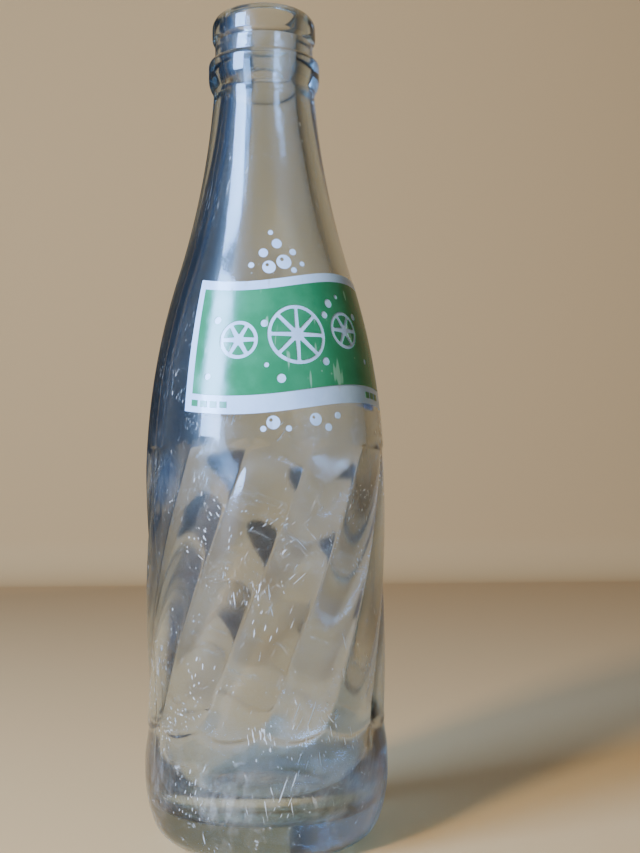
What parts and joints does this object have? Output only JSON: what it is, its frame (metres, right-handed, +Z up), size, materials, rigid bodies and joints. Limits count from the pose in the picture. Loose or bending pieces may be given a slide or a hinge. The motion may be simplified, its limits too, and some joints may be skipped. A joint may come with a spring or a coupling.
{
  "type": "glass soda bottle",
  "caption": "Clear glass returnable soda bottle with swirled ribs, a crown finish and a fired green and white enamel label.",
  "frame": {"origin": "centre of the standing ring, on the bottle's axis, at the surface that it stands on", "axes": "+Z up the bottle's axis to the mouth; -Y is the middle of the printed label; +X is the label's right-hand side as it is read"},
  "size_m": [0.061, 0.061, 0.21],
  "materials": {
    "clear_glass": "moulded clear soda-lime glass, scuffed from reuse",
    "white_enamel": "fired white screen-printed enamel, slightly worn",
    "green_enamel": "fired green screen-printed enamel, slightly worn"
  },
  "bodies": {
    "root": {"glass_bottle": "clear_glass", "white_ground": "white_enamel", "green_field": "green_enamel", "green_wheel_segments": "green_enamel", "green_foot_dashes": "green_enamel", "bubbles_over_label": "white_enamel", "bubbles_under_label": "white_enamel"}
  },
  "joints": []
}
